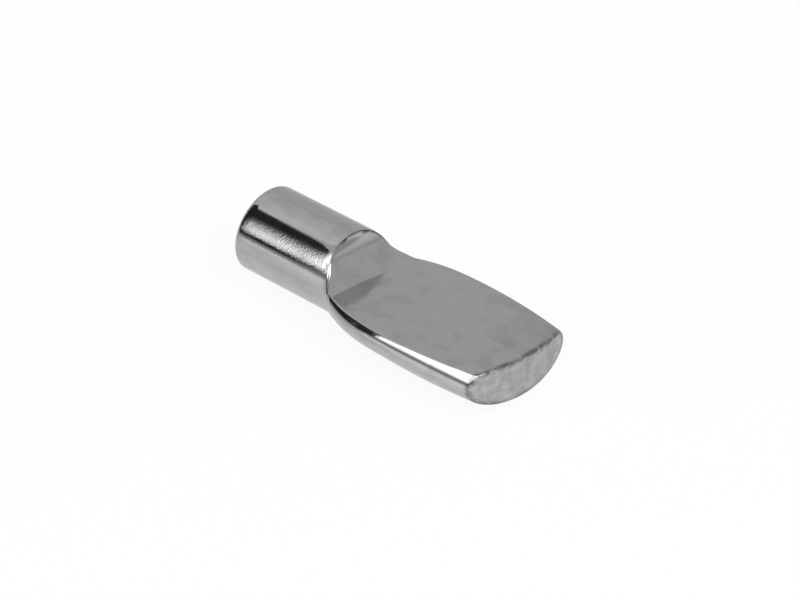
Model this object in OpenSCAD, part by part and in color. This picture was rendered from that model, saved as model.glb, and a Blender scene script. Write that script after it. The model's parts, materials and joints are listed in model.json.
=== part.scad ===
// Spoon-type shelf support pin, cold-formed in one piece from 5 mm steel wire.
// The round pin pushes into a hole in the cabinet side, and the shelf lies on the flat of the paddle.
// Frame: origin on the pin's axis at the shoulder, +X to the paddle's tip, +Z out of the flat.

/* [Pin] */
// Diameter of the round pin, which fits a 5 mm system hole
pin_d = 5; // [4.8:0.1:5.2]
// Length of the round pin's longest side, from its free end to the shoulder
pin_len = 7.45; // [6:0.05:10]
// Slant of the cropped free end, in degrees out of square
end_slant = 8; // [0:1:10]
// Direction of the pin's shortest side, in degrees round the axis from straight up
end_turn = 34; // [0:1:359]
// Radius of the tumbled edge at the pin's free end
end_r = 0.4; // [0.15:0.05:0.6]

/* [Shoulder] */
// Length along the flat over which the shoulder's hollow face climbs to the top of the pin
shoulder_run = 1.45; // [1:0.05:2]
// Distance from the shoulder's upper edge to where the sides begin to spread
flare_x = 0.15; // [0.1:0.05:0.4]
// Length over which the sides spread to the paddle's neck
flare_run = 0.9; // [0.8:0.05:1.4]

/* [Paddle] */
// Length of the paddle, from the shoulder's upper edge to the tip
paddle_len = 12.5; // [10:0.5:16]
// Width of the paddle just past the shoulder
neck_w = 6.1; // [5.8:0.1:7]
// Greatest width of the paddle
paddle_w = 7.95; // [7:0.05:9]
// Distance from the shoulder to the greatest width
widest_x = 5.8; // [4:0.1:7]
// Width of the paddle at the tip
tip_w = 6.9; // [6:0.1:8]
// Height of the flat above the pin's axis
flat_z = 0.3; // [0:0.05:0.6]
// Bulge of the tip in plan, at its middle
tip_bulge = 0.5; // [0.2:0.1:1]
// Lean of the sheared tip, in degrees, with the flat overhanging
tip_lean = 5; // [0:1:8]

/* [Paddle section] */
// Depth of the underside below the pin's axis just past the shoulder
neck_depth = 2.8; // [2.5:0.05:2.9]
// Depth of the underside at the greatest width
paddle_depth = 2.5; // [2.3:0.05:2.7]
// Depth of the underside at the tip
tip_depth = 2.2; // [2:0.05:2.5]
// How far round its quarter ellipse the paddle's side rises before the flat cuts it off, in degrees
crease_angle = 39; // [30:1:60]

/* [Hidden] */

pin_r = pin_d / 2;
neck_x = flare_x + flare_run;

// Inset of the crease from the widest line of the section: neck, greatest width, tip
crease_inset = [0.2, 0.23, 0.47];
// Height of the widest line: neck, greatest width, tip
widest_z = [-0.12, -0.23, -0.58];
// Fullness of the underside, where 2 is an ellipse: neck and tip
fullness = [1.7, 2.05];
// How sharply the neck runs out into the paddle, where 2 is a parabola
neck_curve = 2.7;

// The spread of the sides starts this far inside the pin's surface
inlay = 0.01;
// Half of the section's flat top is never narrower than this, so that no two of its corners meet
top_least = 0.01;
// Stretch over which the round top of the neck sinks to the paddle's sides
sink_x = 0.45;
sink_run = 1.05;
// The wire runs on past both ends by these lengths, which the cropping and the shear take off
end_stock = 1;
shear_stock = 0.6;
// The rounding of the free end reaches out past the pin's surface by this much, and the surface cuts it off
rim_margin = 0.04;

// The sections stand closer together up to here, a little past the neck
close_x = neck_x + 0.3;
stations_flare = 16;
stations_paddle = 30;
side_steps = 10;
under_steps = 38;
arc_steps = 24;
pin_fn = 96;
edge_fn = 48;
tip_fn = 360;

function ease(t) = let (c = min(max(t, 0), 1)) c * c * (3 - 2 * c);

// A value that passes from v[0] at the neck through v[1] at the greatest width to v[2] at the tip
function along(x, v, tip_curve = 2) =
    let (to_neck = min(max((widest_x - x) / (widest_x - neck_x), 0), 1),
         to_tip = max((x - widest_x) / (paddle_len - widest_x), 0))
    v[1] + (v[0] - v[1]) * pow(to_neck, neck_curve) + (v[2] - v[1]) * pow(to_tip, tip_curve);

// How far the section at x has left the round pin, from 0 to 1
function spread(x) = ease((x - flare_x) / flare_run);

function half_width(x) =
    let (start = pin_r - inlay)
    start + (along(x, [neck_w, paddle_w, tip_w] / 2) - start) * spread(x);
function line_z(x) = along(x, widest_z, 1) * spread(x);
function depth(x) =
    let (start = pin_r - inlay)
    start + (along(x, [neck_depth, paddle_depth, tip_depth]) - start) * spread(x);
function power(x) =
    let (part = (x - flare_x) / (paddle_len - flare_x))
    2 + (fullness[0] + (fullness[1] - fullness[0]) * part - 2) * spread(x);

// The side above the widest line is a quarter ellipse, which the flat cuts off at the crease
function side_reach(x) = along(x, crease_inset) / (1 - cos(crease_angle));
function side_rise(x) = (flat_z - line_z(x)) / sin(crease_angle);

function sinking(x) = ease((x - sink_x) / sink_run);
function top_z(x) =
    let (round_top = pin_r - inlay)
    round_top + (line_z(x) + side_rise(x) - round_top) * sinking(x);
function top_half(x) = max((half_width(x) - side_reach(x)) * sinking(x), top_least);

// One closed section of the blank at x, seen from the tip: up one side, across and down the other, then under
function section(x) =
    let (w = half_width(x), z0 = line_z(x), top = top_z(x), g = top_half(x), d = depth(x), e = 2 / power(x))
    concat(
        [for (i = [0 : side_steps])
            let (a = 90 * i / side_steps) [x, g + (w - g) * cos(a), z0 + (top - z0) * sin(a)]],
        [for (i = [0 : side_steps])
            let (a = 90 - 90 * i / side_steps) [x, -g - (w - g) * cos(a), z0 + (top - z0) * sin(a)]],
        [for (i = [1 : under_steps - 1])
            let (a = 180 * i / under_steps, c = cos(a))
            [x, -w * sign(c) * pow(abs(c), e), z0 - (d + z0) * pow(sin(a), e)]]
    );

station_x = concat(
    [for (i = [0 : stations_flare - 1]) flare_x + (close_x - flare_x) * i / stations_flare],
    [for (i = [0 : stations_paddle]) close_x + (paddle_len + shear_stock - close_x) * i / stations_paddle]
);

// The stamped blank: every section joined to the next, with the two ends closed
module blank() {
    rings = [for (x = station_x) section(x)];
    n = len(rings[0]);
    last = len(rings) - 1;
    polyhedron(
        points = [for (ring = rings) each ring],
        faces = concat(
            [[for (i = [0 : n - 1]) i]],
            [[for (i = [n - 1 : -1 : 0]) last * n + i]],
            [for (k = [0 : last - 1], i = [0 : n - 1])
                let (j = (i + 1) % n) [k * n + i, k * n + n + i, k * n + n + j, k * n + j]]
        ),
        convexity = 4
    );
}

// What the cropping leaves: everything on the paddle's side of the slanting, round-edged free end
module cropped() {
    rim_r = pin_r + rim_margin - end_r;
    wide = 2 * pin_d;
    translate([end_r + rim_r * sin(end_slant) - pin_len, 0, 0])
        rotate([end_turn, 0, 0]) rotate([0, 90 + end_slant, 0]) rotate_extrude($fn = pin_fn)
            union() {
                translate([0, -end_r]) square([rim_r, end_r]);
                translate([rim_r, 0]) circle(end_r, $fn = edge_fn);
                square([wide, pin_len + wide]);
            }
}

// The round pin, run on to where the sides spread
module round_pin() {
    stock = pin_len + end_stock;
    intersection() {
        translate([-stock, 0, 0]) rotate([0, 90, 0]) cylinder(h = stock + flare_x, r = pin_r, $fn = pin_fn);
        cropped();
    }
}

// Everything that the stamp clears: above the flat and before the shoulder's face, which is a quarter ellipse
module cleared() {
    wide = 2 * paddle_w;
    high = 2 * pin_d;
    beyond = paddle_len + pin_d;
    shoulder_rise = pin_r - flat_z;
    face = [for (i = [0 : arc_steps])
        let (a = 90 * i / arc_steps)
        [shoulder_run * (1 - sin(a)), pin_r - shoulder_rise * cos(a)]];
    translate([0, wide / 2, 0]) rotate([90, 0, 0]) linear_extrude(wide)
        polygon(concat(face, [[0, high], [beyond, high], [beyond, flat_z]]));
}

// Everything that the shear takes off past the tip, whose face bulges in plan and leans under the flat
module sheared_off() {
    half = tip_w / 2;
    bulge_r = (half * half + tip_bulge * tip_bulge) / (2 * tip_bulge);
    wide = 2 * paddle_w;
    deep = 4 * pin_d;
    reach = 2 * shear_stock + tip_bulge;
    translate([paddle_len, 0, flat_z]) rotate([0, tip_lean, 0]) difference() {
        translate([-2 * tip_bulge, -wide / 2, -deep / 2]) cube([reach + 2 * tip_bulge, wide, deep]);
        translate([-bulge_r, 0, 0]) cylinder(h = 2 * deep, r = bulge_r, center = true, $fn = tip_fn);
    }
}

module shelf_pin() {
    color("silver") difference() {
        union() {
            round_pin();
            blank();
        }
        cleared();
        sheared_off();
    }
}

shelf_pin();
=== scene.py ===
"""The looks of the shelf support pin: one stamped steel spoon, plated with bright nickel.

The skin is computed in millimetres from the same few sizes as the CAD part, then handed to Blender in metres.
It adds what the solid leaves plain: the rounding of each edge, the dent beside the shoulder and the finish of
each face. Frame: origin on the pin's axis at the shoulder, +X to the tip, +Z out of the flat.
"""

import json
import math

import bpy
import numpy as np
from mathutils import Matrix, Vector


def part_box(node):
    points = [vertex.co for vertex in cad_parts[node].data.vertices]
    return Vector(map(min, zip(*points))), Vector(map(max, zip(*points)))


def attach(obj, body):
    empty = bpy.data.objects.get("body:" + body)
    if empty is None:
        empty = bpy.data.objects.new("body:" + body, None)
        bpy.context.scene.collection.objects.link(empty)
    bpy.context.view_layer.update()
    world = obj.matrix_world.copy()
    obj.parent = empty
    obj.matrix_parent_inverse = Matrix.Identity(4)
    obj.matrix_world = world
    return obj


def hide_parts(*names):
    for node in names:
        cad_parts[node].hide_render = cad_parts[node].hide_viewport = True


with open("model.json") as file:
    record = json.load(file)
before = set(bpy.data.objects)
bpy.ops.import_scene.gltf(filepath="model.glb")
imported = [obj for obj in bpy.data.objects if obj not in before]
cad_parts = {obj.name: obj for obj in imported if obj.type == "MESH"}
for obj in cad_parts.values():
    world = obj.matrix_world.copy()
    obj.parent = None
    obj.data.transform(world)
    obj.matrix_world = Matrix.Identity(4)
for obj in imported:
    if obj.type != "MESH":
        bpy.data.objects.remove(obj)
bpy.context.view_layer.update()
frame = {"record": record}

MM = 0.001

# Keeps powers and divisions away from 0
TINY = 1e-9

# ---------------------------------------------------------------- sizes, in millimetres

# A pair with FADE in its name gives the place where something starts and the place where it is whole

low, high = (np.array(corner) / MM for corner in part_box("shelf_pin"))
mounts = {mount["name"]: mount for mount in frame["record"]["mounts"]}

PIN_R = mounts["pin"]["dims"]["r_mm"]
PIN_LEN = -low[0]
PADDLE_LEN = high[0]
FLAT_Z = mounts["shelf_rest"]["pos_m"][2] / MM

# The shoulder's hollow face is a quarter ellipse, from the top of the pin down to the flat
SHOULDER_RUN = 1.45
SHOULDER_RISE = PIN_R - FLAT_Z

# The sides leave the round pin at the flare, and follow the paddle's own curve from the neck on
FLARE_X = 0.15
FLARE_RUN = 0.9
NECK_X = FLARE_X + FLARE_RUN
WIDEST_X = 5.8

# Each triple is the value at the neck, at the greatest width and at the tip
HALF_WIDTH = (3.05, 3.975, 3.45)
DEPTH = (2.8, 2.5, 2.2)
LINE_Z = (-0.12, -0.23, -0.58)
CREASE_INSET = (0.2, 0.23, 0.47)

# The exponent of the curve that draws these values in towards the neck, and how far they go on past the tip
NECK_CURVE = 2.7
PAST_TIP = 1.1

# The exponent of the underside's section, at the flare and at the tip: 2 is an ellipse, and more is fuller
FULLNESS = (1.7, 2.05)

# How far up its quarter ellipse the side has come where the flat cuts it off
CREASE_ANGLE = math.radians(39)

# Where the top of the blank goes over from the pin's shape to the paddle's
SINK_FADE_X = (0.45, 1.5)

# The shear at the tip bulges in plan and leans under the flat
TIP_BULGE = 0.5
TIP_LEAN = math.radians(5)
BULGE_R = (HALF_WIDTH[2] ** 2 + TIP_BULGE**2) / (2 * TIP_BULGE)

# The pin's free end is cropped out of square. Its shortest side lies round from straight up towards -Y.
END_R = 0.4
END_SLANT = math.radians(8)
END_TURN = math.radians(34)
RIM_R = PIN_R - END_R
END_REACH = RIM_R * math.sin(END_SLANT) + END_R * (math.hypot(1, math.sin(END_SLANT)) - 1)
END_X = END_REACH / math.cos(END_SLANT) - PIN_LEN

# The stamp drags the blank's skin down beside the upper part of the shoulder
DRAG = 0.045
DRAG_RUN = 0.8
DRAG_FADE_X = (0.9, 0.4)
DRAG_FADE_Z = (0.5, 1.4)

# Rounding of the other edges. Down the shoulder it starts fine, swells, and ends at the foot as the crease's
TOP_EDGE_R = 0.024
SHOULDER_EDGE_R = 0.22
SHOULDER_FADE_X = (0.1, 0.35)
SHOULDER_FOOT_FADE_X = (1.2, 0.7)
CREASE_R = 0.04
CREASE_FADE_X = (0, 0.5)
TIP_EDGE_R = 0.12

# ---------------------------------------------------------------- form


def fade(value, start, stop):
    """How far a value has come from start to stop, from 0 to 1, slowly at both ends."""
    t = np.clip((value - start) / (stop - start), 0, 1)
    return t * t * (3 - 2 * t)


def along(x, v, tip_curve=2):
    """A value that passes from v[0] at the neck through v[1] at the greatest width to v[2] at the tip."""
    to_neck = np.clip((WIDEST_X - x) / (WIDEST_X - NECK_X), 0, 1)
    to_tip = np.clip((x - WIDEST_X) / (PADDLE_LEN - WIDEST_X), 0, PAST_TIP)
    return v[1] + (v[0] - v[1]) * to_neck**NECK_CURVE + (v[2] - v[1]) * to_tip**tip_curve


def spread(x):
    """How far the section at x has left the round pin, from 0 to 1."""
    return fade(x, FLARE_X, NECK_X)


def half_width(x):
    return PIN_R + (along(x, HALF_WIDTH) - PIN_R) * spread(x)


def line_z(x):
    """Height of the line along which the blank is widest."""
    return along(x, LINE_Z, 1) * spread(x)


def depth(x):
    return PIN_R + (along(x, DEPTH) - PIN_R) * spread(x)


def power(x):
    """The exponent of the underside's section at x."""
    part = (x - FLARE_X) / (PADDLE_LEN - FLARE_X)
    return 2 + (FULLNESS[0] + (FULLNESS[1] - FULLNESS[0]) * part - 2) * spread(x)


def top_z(x):
    """Height of the blank's top, before the stamp takes it away."""
    rise = (FLAT_Z - line_z(x)) / math.sin(CREASE_ANGLE)
    return PIN_R + (line_z(x) + rise - PIN_R) * fade(x, *SINK_FADE_X)


def top_half(x):
    """Half the width of the level part of the blank's top."""
    reach = along(x, CREASE_INSET) / (1 - math.cos(CREASE_ANGLE))
    return (half_width(x) - reach) * fade(x, *SINK_FADE_X)


def blank(x, y, z):
    """Distance out of the rolled blank: quarter ellipses above its widest line, a superellipse under it."""
    wide, line, deep = half_width(x), line_z(x), depth(x)
    upper = z > line
    core = np.where(upper, top_half(x), 0)
    a = wide - core
    b = np.where(upper, top_z(x) - line, deep + line)
    m = np.where(upper, 2.0, power(x))
    u = np.maximum(np.maximum(np.abs(y) - core, 0) / a, TINY)
    v = np.maximum(np.abs(z - line) / b, TINY)
    k = (u**m + v**m) ** (1 / m)
    slope = np.hypot((u / k) ** (m - 1) / a, (v / k) ** (m - 1) / b)
    return (k - 1) / slope


def stamped(x, z):
    """Distance into what the stamp clears, above the flat and in front of the shoulder."""
    u = np.maximum(1 - x / SHOULDER_RUN, TINY)
    v = np.maximum((PIN_R - z) / SHOULDER_RISE, 0)
    k = np.hypot(u, v)
    slope = np.hypot(u / SHOULDER_RUN, v / SHOULDER_RISE) / k
    return (1 - k) / slope


def stamp_z(x):
    """Height of the stamped face at x."""
    u = np.clip(1 - x / SHOULDER_RUN, 0, 1)
    return PIN_R - SHOULDER_RISE * math.sqrt(1 - u * u)


def dragged(x, z):
    """How deep the blank's skin is dented beside the upper part of the shoulder."""
    near = np.clip(1 + stamped(x, z) / DRAG_RUN, 0, 1)
    return DRAG * near**3 * fade(x, *DRAG_FADE_X) * fade(z, *DRAG_FADE_Z)


def tip_x(y, z):
    """The sheared face at the tip, which bulges in plan and leans under the flat."""
    bulge = np.sqrt(np.maximum(BULGE_R**2 - y**2, 0)) - BULGE_R
    return PADDLE_LEN + (bulge + (z - FLAT_Z) * math.sin(TIP_LEAN)) / math.cos(TIP_LEAN)


def beyond_tip(x, y, z):
    out = (x - PADDLE_LEN) * math.cos(TIP_LEAN) - (z - FLAT_Z) * math.sin(TIP_LEAN)
    return np.hypot(out + BULGE_R, y) - BULGE_R


def end_x(y, z):
    """The cropped face at the pin's free end."""
    return END_X + (z * math.cos(END_TURN) - y * math.sin(END_TURN)) * math.tan(END_SLANT)


def beyond_end(x, y, z):
    return (end_x(y, z) - x) * math.cos(END_SLANT)


def rounded_max(a, b, r):
    """The corner between two fields, rounded with radius r."""
    return np.minimum(np.maximum(a, b), -r) + np.hypot(np.maximum(a + r, 0), np.maximum(b + r, 0))


def outside(x, y, z):
    """The whole form as one field: below 0 in the metal and 0 on its skin."""
    on_shoulder = fade(x, *SHOULDER_FADE_X) * fade(x, *SHOULDER_FOOT_FADE_X)
    edge_r = TOP_EDGE_R + (CREASE_R - TOP_EDGE_R) * fade(x, *CREASE_FADE_X)
    edge_r = edge_r + (SHOULDER_EDGE_R - CREASE_R) * on_shoulder
    d = rounded_max(blank(x, y, z) + dragged(x, z), stamped(x, z), edge_r)
    d = rounded_max(d, beyond_tip(x, y, z), TIP_EDGE_R)
    return rounded_max(d, beyond_end(x, y, z), END_R)


# ---------------------------------------------------------------- mesh

# The mesh's columns round half a section: even on the pin, and from the shoulder on close at the crease
UNDER_COLUMNS = 84
FLAT_COLUMNS = 46
EVEN_SHARE = 0.45
COLUMNS_FADE_X = (-0.3, 0.4)

# Points of a section's outline, along which its columns are spaced
UNDER_SAMPLES = 400
SIDE_SAMPLES = 200

# Its rings along the axis, close together within END_RUN of both ends and at the shoulder
END_RINGS = 10
PIN_RINGS = 11
SHOULDER_RINGS = 83
PADDLE_RINGS = 73
TIP_RINGS = 12
END_RUN = 0.6
END_CURVE = 1.5
SHOULDER_START = -0.3
SHOULDER_STOP = 1.8

# Its rings on the two end faces, and the exponents that space them
END_FACE_RINGS = 10
END_FACE_CURVE = 0.8
TIP_FACE_RINGS = 16
TIP_FACE_CURVE = 1.3
TIP_CENTRE_Z = -0.95

# The rays that find the skin start on a line that sinks under the axis, and keep in from both ends
START_SINK = 0.9
START_FADE_X = (-1, 3)
END_INSET = 1.5
TIP_INSET = 1.6

# The rings take on the slant of an end's face over this much of the length
END_SLANT_RUN = 3
TIP_SLANT_RUN = 2.6

# Between which limits a section's outline is looked for, in millimetres, and the skin, in parts of its ray
SECTION_LIMITS = (0, 6)
RAY_LIMITS = (0.3, 1.25)
HALVINGS = 34


def steps(start, stop, count):
    """Even places after start, the last of them at stop."""
    return np.linspace(start, stop, count + 1)[1:]


def crowded(part):
    """Moves even parts from 0 to 1 closer together towards 1."""
    return EVEN_SHARE * part + (1 - EVEN_SHARE) * np.sin(part * math.pi / 2)


def bearings(x, axis_z):
    """Where the columns run round one side at x, as angles from straight down to straight up."""
    even = np.linspace(-math.pi / 2, math.pi / 2, UNDER_COLUMNS + FLAT_COLUMNS + 1)
    if x < COLUMNS_FADE_X[0]:
        return even
    wide, line, top, core = half_width(x), line_z(x), top_z(x), top_half(x)
    lip = stamp_z(x)

    # the outline from straight down, round the underside and up the side to the crease
    t = np.linspace(math.pi / 2, 0, UNDER_SAMPLES)
    q = np.linspace(0, math.asin(np.clip((lip - line) / (top - line), 0, 1)), SIDE_SAMPLES)[1:]
    y = np.append(wide * np.cos(t) ** (2 / power(x)), core + (wide - core) * np.cos(q))
    z = np.append(line - (depth(x) + line) * np.sin(t) ** (2 / power(x)), line + (top - line) * np.sin(q))
    run = np.append(0, np.cumsum(np.hypot(np.diff(y), np.diff(z))))
    bearing = np.arctan2(z - axis_z, y)
    bearing[0] = -math.pi / 2

    side = np.interp(run[-1] * crowded(np.linspace(0, 1, UNDER_COLUMNS + 1)), run, bearing)
    across = y[-1] * crowded(1 - steps(0, 1, FLAT_COLUMNS))
    shaped = np.append(side, np.arctan2(lip - axis_z, across))
    return even + (shaped - even) * fade(x, *COLUMNS_FADE_X)


def ring_places():
    """Where the mesh's rings cross the pin's axis."""
    return np.concatenate([
        [-PIN_LEN],
        END_RUN * steps(0, 1, END_RINGS) ** END_CURVE - PIN_LEN,
        steps(END_RUN - PIN_LEN, SHOULDER_START, PIN_RINGS),
        steps(SHOULDER_START, SHOULDER_STOP, SHOULDER_RINGS),
        steps(SHOULDER_STOP, PADDLE_LEN - END_RUN, PADDLE_RINGS),
        PADDLE_LEN - END_RUN * steps(1, 0, TIP_RINGS) ** END_CURVE,
    ])


def furthest(inside, limits, count):
    """How far out each of count rays stays inside, found by halving the gap between the limits."""
    near, far = (np.full(count, float(limit)) for limit in limits)
    for _ in range(HALVINGS):
        middle = (near + far) / 2
        hit = inside(middle)
        near = np.where(hit, middle, near)
        far = np.where(hit, far, middle)
    return near


def side_ring(x):
    """Starts of rays, and their aims on the unrounded outline at x, slanted like the nearer end's face."""
    axis_z = -START_SINK * fade(x, *START_FADE_X)
    half = bearings(x, axis_z)
    turn = np.concatenate([half, (math.pi - half)[::-1][1:-1]])
    at = np.full(len(turn), x)

    def inside(r):
        y, z = r * np.cos(turn), axis_z + r * np.sin(turn)
        return np.maximum(blank(at, y, z), stamped(at, z)) < 0

    r = furthest(inside, SECTION_LIMITS, len(turn))
    y, z = r * np.cos(turn), axis_z + r * np.sin(turn)
    to_end = np.clip(1 - (PIN_LEN + x) / END_SLANT_RUN, 0, 1) ** 2
    to_tip = np.clip(1 - (PADDLE_LEN - x) / TIP_SLANT_RUN, 0, 1) ** 2
    aim_x = x + to_tip * (tip_x(y, z) - PADDLE_LEN) + to_end * (end_x(y, z) + PIN_LEN)
    start_x = np.clip(x, END_INSET - PIN_LEN, PADDLE_LEN - TIP_INSET)
    return np.stack([0 * at + start_x, 0 * at, 0 * at + axis_z], 1), np.stack([aim_x, y, z], 1)


def face_ring(ring, part, centre_z, face_x):
    """A smaller copy of an outermost side ring, on the face that closes that end."""
    start, aim = ring
    y, z = aim[:, 1] * part, centre_z + (aim[:, 2] - centre_z) * part
    return start, np.stack([face_x(y, z), y, z], 1)


def skin():
    """Points and faces of the whole surface. Each point lies on a ray from inside, where the form ends."""
    sides = [side_ring(x) for x in ring_places()]
    end_parts = steps(0, 1, END_FACE_RINGS + 1)[:-1] ** END_FACE_CURVE
    tip_parts = 1 - steps(0, 1, TIP_FACE_RINGS + 1)[:-1] ** TIP_FACE_CURVE
    rings = [face_ring(sides[0], part, 0, end_x) for part in end_parts]
    rings += sides
    rings += [face_ring(sides[-1], part, TIP_CENTRE_Z, tip_x) for part in tip_parts]
    count, columns = len(rings), len(rings[0][0])
    start = np.concatenate([ring[0] for ring in rings] + [rings[0][0][:1], rings[-1][0][:1]])
    poles = [[end_x(0, 0), 0, 0], [tip_x(0, TIP_CENTRE_Z), 0, TIP_CENTRE_Z]]
    aim = np.concatenate([ring[1] for ring in rings] + [poles])
    ray = aim - start

    def inside(r):
        return outside(*(start + ray * r[:, None]).T) < 0

    points = start + ray * furthest(inside, RAY_LIMITS, len(ray))[:, None]
    index = np.arange(count * columns).reshape(count, columns)
    faces = []
    for a, b in zip(index[:-1], index[1:]):
        faces += zip(a, np.roll(a, -1), np.roll(b, -1), b)
    end_pole, tip_pole = count * columns, count * columns + 1
    faces += [(end_pole, j, i) for i, j in zip(index[0], np.roll(index[0], -1))]
    faces += [(tip_pole, i, j) for i, j in zip(index[-1], np.roll(index[-1], -1))]
    return points, [tuple(int(i) for i in face) for face in faces]


# ---------------------------------------------------------------- where each finish and each painted shade lies, in millimetres

# How near to each kind of face its finish starts to show
ROLLED_FADE = (-0.05, 0)
STAMPED_FADE = (-0.03, 0)
SHEARED_FADE = (-0.04, 0)

# The pebbles start under the top of the pin, are highest in a belt, and below it have a share of that height
PEBBLES_FADE_Z = (1.9, 1.6)
BELT_FADE_Z = (0.9, 1.15)
BELOW_BELT = 0.25

# The flat is painted darker along its far edge, towards the tip: painted shade standing in for the darker
# reflection of the far bevel
FAR_EDGE_FADE = (-0.825, -0.075)
FAR_EDGE_FADE_X = (8.8, 10)

# Grime lies round the tip's edges, and a near-black line of painted shade lies round the upper part of the
# shoulder's edge, in place of the bright reflection that edge would show
RIM_FADE = (0.36, 0.06)
SHOULDER_SHADE_FADE = (0.072, 0.012)
SHOULDER_SHADE_FADE_X = (0.5, 0.1)


def finish_masks(points):
    """How much of each finish and each painted shade lies at each point, from 0 to 1."""
    x, y, z = points.T
    skin_gap = blank(x, y, z) + dragged(x, z)
    stamp_gap = stamped(x, z)
    tip_gap = beyond_tip(x, y, z)
    rolled = fade(skin_gap, *ROLLED_FADE)
    belt = BELOW_BELT + (1 - BELOW_BELT) * fade(z, *BELT_FADE_Z)
    far_edge = fade(skin_gap, *FAR_EDGE_FADE) * fade(x, *FAR_EDGE_FADE_X) * (y > 0)
    from_rim = np.hypot(tip_gap, np.maximum(skin_gap, stamp_gap))
    from_shoulder = np.hypot(skin_gap, stamp_gap)
    return {
        "rolled": rolled,
        "pebbled": rolled * fade(z, *PEBBLES_FADE_Z) * belt,
        # painted shade: the far bevel's darker reflection, put into the colour along the far edge
        "far_edge_shade": far_edge * fade(stamp_gap, *STAMPED_FADE),
        "sheared": fade(tip_gap, *SHEARED_FADE),
        "tip_rim": fade(from_rim, *RIM_FADE),
        # painted shade: a near-black line that keeps the shoulder's edge from mirroring the soft box
        "shoulder_line_shade": fade(from_shoulder, *SHOULDER_SHADE_FADE) * fade(x, *SHOULDER_SHADE_FADE_X),
    }


def build_pin():
    points, faces = skin()
    mesh = bpy.data.meshes.new("shelf_pin_skin")
    mesh.from_pydata((points * MM).tolist(), [], faces)
    for name, values in finish_masks(points).items():
        mesh.attributes.new(name, "FLOAT", "POINT").data.foreach_set("value", values.astype(np.float32))
    mesh.shade_smooth()
    pin = bpy.data.objects.new("shelf_pin_skin", mesh)
    bpy.context.scene.collection.objects.link(pin)
    return pin


# ---------------------------------------------------------------- camera

# The camera stands round from -Y towards +X. Its aim, its distance and its lens are in millimetres.
AIM = (3.044, 0.355, -0.528)
AZIMUTH = math.radians(45.35)
ELEVATION = math.radians(30.81)
DISTANCE = 181.7
LENS = 154.8

# The nearest and the furthest that it sees, in metres
NEAREST = 0.005
FURTHEST = 10


def build_camera():
    back = Vector((
        math.sin(AZIMUTH) * math.cos(ELEVATION),
        -math.cos(AZIMUTH) * math.cos(ELEVATION),
        math.sin(ELEVATION),
    ))
    data = bpy.data.cameras.new("camera")
    data.lens = LENS
    data.clip_start = NEAREST
    data.clip_end = FURTHEST
    camera = bpy.data.objects.new("camera", data)
    turn = back.to_track_quat("Z", "Y").to_matrix()
    camera.matrix_world = Matrix.Translation((Vector(AIM) + back * DISTANCE) * MM) @ turn.to_4x4()
    bpy.context.scene.collection.objects.link(camera)
    bpy.context.scene.camera = camera


# ---------------------------------------------------------------- materials

# Tones of the metal
CLEAN = (0.63, 0.62, 0.61, 1)
SMUDGED = (0.52, 0.505, 0.49, 1)
SPECKED = (0.5, 0.49, 0.48, 1)
DRAWN = (0.54, 0.53, 0.52, 1)
# Painted shade for the darker reflection of the far bevel
FAR_EDGE_SHADE = (0.49, 0.48, 0.47, 1)
MOTTLED = (0.42, 0.41, 0.4, 1)
GRIMY = (0.22, 0.21, 0.2, 1)
# Painted shade: the near-black line round the upper part of the shoulder's edge
SHOULDER_SHADE = (0.03, 0.029, 0.028, 1)

ROLLED_ROUGHNESS = 0.07
STAMPED_ROUGHNESS = 0.13
SMUDGE_ROUGHNESS = 0.06
SHEARED_ROUGHNESS = 0.36

# Streaks from drawing the wire: how fast they change along each axis, next to plain noise
STREAK_SCALE = (0.1, 1, 1)

# One unit of relief and the pits' spacing are in millimetres, and heights are in that unit
RELIEF = 0.004
PEBBLE_HEIGHT = 1.7
PIT_CELL = 0.14
PIT_DEPTH = 0.4
GRAIN_HEIGHT = 0.3
TORN_HEIGHT = 3.5

PAPER = (0.95, 0.95, 0.95)
PAPER_WHITE_SHARE = 0.9
ACRYLIC_LIGHT = 0.7
ACRYLIC_ROUGHNESS = 0.05
ACRYLIC_IOR = 1.49


def plain_material(name, shader_type, colour, strength=None):
    material = bpy.data.materials.new(name)
    material.use_nodes = True
    tree = material.node_tree
    tree.nodes.clear()
    shader = tree.nodes.new(shader_type)
    shader.inputs["Color"].default_value = (*colour, 1)
    if strength is not None:
        shader.inputs["Strength"].default_value = strength
    output = tree.nodes.new("ShaderNodeOutputMaterial")
    tree.links.new(shader.outputs[0], output.inputs["Surface"])
    return material


def attribute(tree, name):
    """A value that the mesh carries at its points."""
    node = tree.nodes.new("ShaderNodeAttribute")
    node.attribute_name = name
    return node.outputs["Fac"]


def combined(tree, operation, a, b):
    """The result of a Math node on two values."""
    node = tree.nodes.new("ShaderNodeMath")
    node.operation = operation
    tree.links.new(a, node.inputs[0])
    tree.links.new(b, node.inputs[1])
    return node.outputs[0]


def ranged(tree, value, between=(0, 1), to=(0, 1)):
    """A value between two levels, brought to another range and held at its ends."""
    node = tree.nodes.new("ShaderNodeMapRange")
    node.inputs["From Min"].default_value, node.inputs["From Max"].default_value = between
    node.inputs["To Min"].default_value, node.inputs["To Max"].default_value = to
    tree.links.new(value, node.inputs["Value"])
    return node.outputs["Result"]


def show_mixed(tree, share, under, over):
    """Makes the material show two shaders, with a share of the one over the other."""
    mix = tree.nodes.new("ShaderNodeMixShader")
    tree.links.new(share, mix.inputs[0])
    tree.links.new(under.outputs[0], mix.inputs[1])
    tree.links.new(over.outputs[0], mix.inputs[2])
    tree.links.new(mix.outputs[0], tree.nodes["Material Output"].inputs["Surface"])


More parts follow.
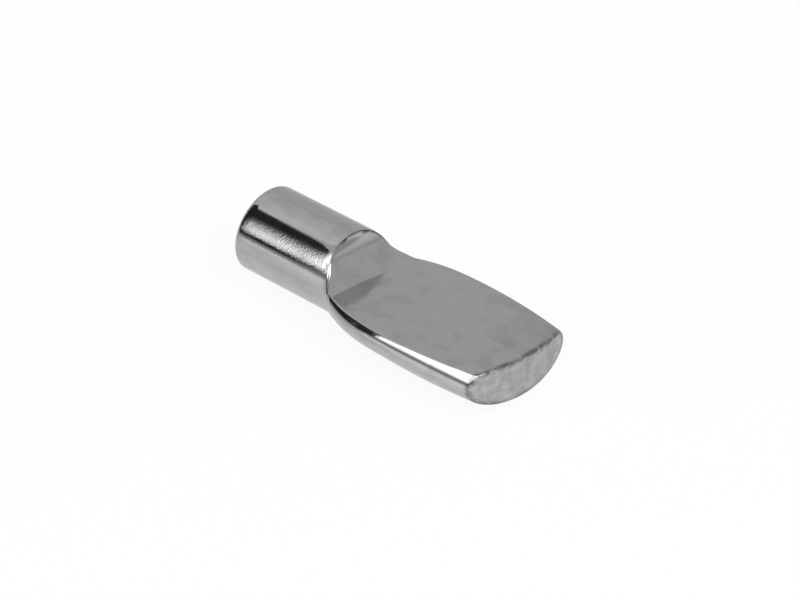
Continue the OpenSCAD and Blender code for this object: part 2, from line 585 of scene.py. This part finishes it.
def nickel():
    """Bright barrel-plated nickel: finely pebbled, with pits, smudges and a duller sheared tip, and painted
    shade along the flat's far edge and round the shoulder's edge.
    """
    material = bpy.data.materials.new("nickel")
    material.use_nodes = True
    tree = material.node_tree
    link = tree.links.new
    shader = tree.nodes["Principled BSDF"]
    shader.inputs["Metallic"].default_value = 1
    place = tree.nodes.new("ShaderNodeTexCoord").outputs["Object"]

    def patches(cell, detail, between=(0, 1), to=(0, 1), vector=place):
        """Noise with cells of this size in millimetres, between two of its levels."""
        node = tree.nodes.new("ShaderNodeTexNoise")
        node.inputs["Scale"].default_value = 1 / (cell * MM)
        node.inputs["Detail"].default_value = detail
        link(vector, node.inputs["Vector"])
        return ranged(tree, node.outputs["Fac"], between, to)

    def plus(a, b):
        return combined(tree, "ADD", a, b)

    def times(a, b):
        return combined(tree, "MULTIPLY", a, b)

    rolled = attribute(tree, "rolled")
    sheared = attribute(tree, "sheared")
    smudges = patches(cell=1.3, detail=3, between=(0.5, 0.75))
    specks = patches(cell=0.35, detail=2, between=(0.6, 0.75), to=(0, 0.5))
    stretched = tree.nodes.new("ShaderNodeVectorMath")
    stretched.operation = "MULTIPLY"
    stretched.inputs[1].default_value = STREAK_SCALE
    link(place, stretched.inputs[0])
    streaks = patches(cell=0.3, detail=2, between=(0.45, 0.7), to=(0, 0.7), vector=stretched.outputs[0])
    # noise that breaks up the painted shade along the flat's far edge
    far_shade_patches = patches(cell=0.6, detail=2, between=(0.3, 0.6), to=(0.3, 1))
    mottling = patches(cell=0.5, detail=4, between=(0.4, 0.66), to=(0.1, 0.8))
    grime = patches(cell=0.4, detail=3, between=(0.38, 0.58), to=(0.2, 0.95))

    # colour: each tone lies over those before it
    tones = (
        (smudges, SMUDGED),
        (specks, SPECKED),
        (times(rolled, streaks), DRAWN),
        # painted shade along the flat's far edge
        (times(attribute(tree, "far_edge_shade"), far_shade_patches), FAR_EDGE_SHADE),
        (times(sheared, mottling), MOTTLED),
        (times(attribute(tree, "tip_rim"), grime), GRIMY),
        # painted shade round the upper part of the shoulder's edge
        (ranged(tree, attribute(tree, "shoulder_line_shade"), to=(0, 0.9)), SHOULDER_SHADE),
    )
    colour = None
    for amount, tone in tones:
        mix = tree.nodes.new("ShaderNodeMix")
        mix.data_type = "RGBA"
        mix.inputs["A"].default_value = CLEAN
        mix.inputs["B"].default_value = tone
        link(amount, mix.inputs["Factor"])
        if colour is not None:
            link(colour, mix.inputs["A"])
        colour = mix.outputs["Result"]
    link(colour, shader.inputs["Base Color"])

    # gloss
    clean = ranged(tree, rolled, to=(STAMPED_ROUGHNESS, ROLLED_ROUGHNESS))
    dull = plus(clean, ranged(tree, smudges, to=(0, SMUDGE_ROUGHNESS)))
    torn_dull = ranged(tree, sheared, to=(ROLLED_ROUGHNESS, SHEARED_ROUGHNESS))
    link(combined(tree, "MAXIMUM", dull, torn_dull), shader.inputs["Roughness"])

    # relief
    pits = tree.nodes.new("ShaderNodeTexVoronoi")
    pits.inputs["Scale"].default_value = 1 / (PIT_CELL * MM)
    link(place, pits.inputs["Vector"])
    sunk = ranged(tree, pits.outputs["Distance"], between=(0.1, 0.4), to=(-PIT_DEPTH, 0))
    rough = plus(patches(cell=0.1, detail=1, to=(0, PEBBLE_HEIGHT)), sunk)
    pebbles = times(attribute(tree, "pebbled"), rough)
    grain = patches(cell=0.08, detail=1, to=(0, GRAIN_HEIGHT))
    torn = times(sheared, patches(cell=0.28, detail=3, between=(0.3, 0.7), to=(0, TORN_HEIGHT)))
    bump = tree.nodes.new("ShaderNodeBump")
    bump.inputs["Distance"].default_value = RELIEF * MM
    bump.inputs["Strength"].default_value = 1
    link(plus(plus(pebbles, grain), torn), bump.inputs["Height"])
    link(bump.outputs["Normal"], shader.inputs["Normal"])
    return material


def white_paper():
    """Pale paper that camera, glossy and transmission rays see as white, with a faint share of its shadow."""
    material = plain_material("white_paper", "ShaderNodeBsdfDiffuse", PAPER)
    tree = material.node_tree
    white = tree.nodes.new("ShaderNodeEmission")
    ray = tree.nodes.new("ShaderNodeLightPath").outputs
    seen = combined(tree, "MAXIMUM", ray["Is Camera Ray"], ray["Is Glossy Ray"])
    seen = combined(tree, "MAXIMUM", seen, ray["Is Transmission Ray"])
    show_mixed(tree, ranged(tree, seen, to=(0, PAPER_WHITE_SHARE)), tree.nodes["Diffuse BSDF"], white)
    return material


def acrylic():
    """The sheet under the object as the metal mirrors it: softly lit, and glossy at a low angle."""
    material = plain_material("acrylic", "ShaderNodeEmission", (1, 1, 1), ACRYLIC_LIGHT)
    tree = material.node_tree
    gloss = tree.nodes.new("ShaderNodeBsdfGlossy")
    gloss.inputs["Roughness"].default_value = ACRYLIC_ROUGHNESS
    fresnel = tree.nodes.new("ShaderNodeFresnel")
    fresnel.inputs["IOR"].default_value = ACRYLIC_IOR
    show_mixed(tree, fresnel.outputs[0], tree.nodes["Emission"], gloss)
    return material


def card_light():
    """Light whose strength at each point of a card is the card's own glow there."""
    material = plain_material("card_light", "ShaderNodeEmission", (1, 1, 1))
    tree = material.node_tree
    tree.links.new(attribute(tree, "glow"), tree.nodes["Emission"].inputs["Strength"])
    return material


# ---------------------------------------------------------------- studio, in metres and degrees

FLOOR_R = 1.0
BOARD_R = 0.099
BOARD_LIFT = 0.00002
DISC_SIDES = 96
CARD_COLUMNS = 41
CARD_ROWS = 25

BLACK = 0.02
LOW_GREY = 0.25
TENT_GREY = 0.47
WHITE = 1.9

# The black flag's soft edge lies between these azimuths, and grows lighter over them
FLAG_EDGE = (215, 230)
FLAG_EDGE_GAIN = 1.5
FLAG_EDGE_CURVE = 2.6

# The soft box grows from grey to white between these elevations
SOFTBOX_FADE = (4, 18)

# The sky's light at its two azimuths
SKY = (140, 200)
SKY_LIGHT = (0.5, 0.68)


def flag_edge_glow(a, e):
    part = (a - FLAG_EDGE[0]) / (FLAG_EDGE[1] - FLAG_EDGE[0])
    return BLACK + FLAG_EDGE_GAIN * part**FLAG_EDGE_CURVE


def softbox_glow(a, e):
    return LOW_GREY + (WHITE - LOW_GREY) * fade(e, *SOFTBOX_FADE)


def sky_glow(a, e):
    return np.interp(a, SKY, SKY_LIGHT)


# Each card's name, its two azimuths from +X towards +Y, its two elevations, its distance, and its light: one
# strength, or a function of azimuth and elevation. A nearer card hides what is behind it.
CARDS = (
    ("flag", (188, FLAG_EDGE[0]), (-0.3, 45.9), 0.5, BLACK),
    ("flag_edge", FLAG_EDGE, (3, 45.9), 0.6, flag_edge_glow),
    ("narrow_flag", (242.6, 258.3), (3.5, 30), 0.015, BLACK),
    ("gap", (188, 231), (-2, 4), 0.1, BLACK),
    ("low_wall", (231, 330), (-2, 4.5), 0.1, LOW_GREY),
    ("right_wall", (330, 430), (-1.5, 1.5), 0.1, 0.33),
    ("back_wall", (70, 188), (-3, 2), 0.1, 0.5),
    ("softbox", (230, 320), (4, 52), 0.6, softbox_glow),
    ("right_softbox", (324, 374), (8, 62), 0.6, 2 * WHITE),
    ("sky", SKY, (36, 62), 0.7, sky_glow),
    ("ceiling", (0, 360), (68, 90), 0.6, 0.3),
    ("tent", (0, 360), (-0.5, 90), 0.9, TENT_GREY),
)


def card(name, azimuth, elevation, distance, glow, material):
    """A curved card round the object, unseen by the camera."""
    across = np.linspace(*azimuth, CARD_COLUMNS)
    up = np.linspace(*elevation, CARD_ROWS)
    a, e = (grid.ravel() for grid in np.meshgrid(across, up))
    turn, rise = np.radians(a), np.radians(e)
    points = distance * np.stack([np.cos(rise) * np.cos(turn), np.cos(rise) * np.sin(turn), np.sin(rise)], 1)
    n = CARD_COLUMNS
    faces = [
        (k * n + i, k * n + i + 1, (k + 1) * n + i + 1, (k + 1) * n + i)
        for k in range(CARD_ROWS - 1)
        for i in range(n - 1)
    ]
    mesh = bpy.data.meshes.new(name)
    mesh.from_pydata(points.tolist(), [], faces)
    strength = glow(a, e) if callable(glow) else np.full(len(a), glow)
    mesh.attributes.new("glow", "FLOAT", "POINT").data.foreach_set("value", strength.astype(np.float32))
    mesh.materials.append(material)
    panel = bpy.data.objects.new(name, mesh)
    panel.visible_camera = False
    panel.visible_shadow = False
    bpy.context.scene.collection.objects.link(panel)


def disc(name, radius, z, material):
    turn = np.linspace(0, 2 * math.pi, DISC_SIDES, endpoint=False)
    points = [(radius * math.cos(t), radius * math.sin(t), z) for t in turn]
    mesh = bpy.data.meshes.new(name)
    mesh.from_pydata(points, [], [tuple(range(DISC_SIDES))])
    mesh.materials.append(material)
    sheet = bpy.data.objects.new(name, mesh)
    bpy.context.scene.collection.objects.link(sheet)
    return sheet


def build_studio():
    """The floor, the board, the cards and a white world, which the tent hides from all but the camera."""
    floor_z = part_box("shelf_pin")[0].z
    disc("floor", FLOOR_R, floor_z, white_paper())
    board = disc("acrylic_board", BOARD_R, floor_z + BOARD_LIFT, acrylic())
    board.visible_camera = False
    board.visible_shadow = False
    board.visible_diffuse = False
    light = card_light()
    for row in CARDS:
        card(*row, light)
    world = bpy.data.worlds.new("studio")
    world.use_nodes = True
    world.node_tree.nodes["Background"].inputs["Color"].default_value = (1, 1, 1, 1)
    bpy.context.scene.world = world
    bpy.context.scene.view_settings.view_transform = "Standard"


# ---------------------------------------------------------------- scene

pin = build_pin()
pin.data.materials.append(nickel())
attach(pin, "root")
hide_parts("shelf_pin")

build_camera()
build_studio()
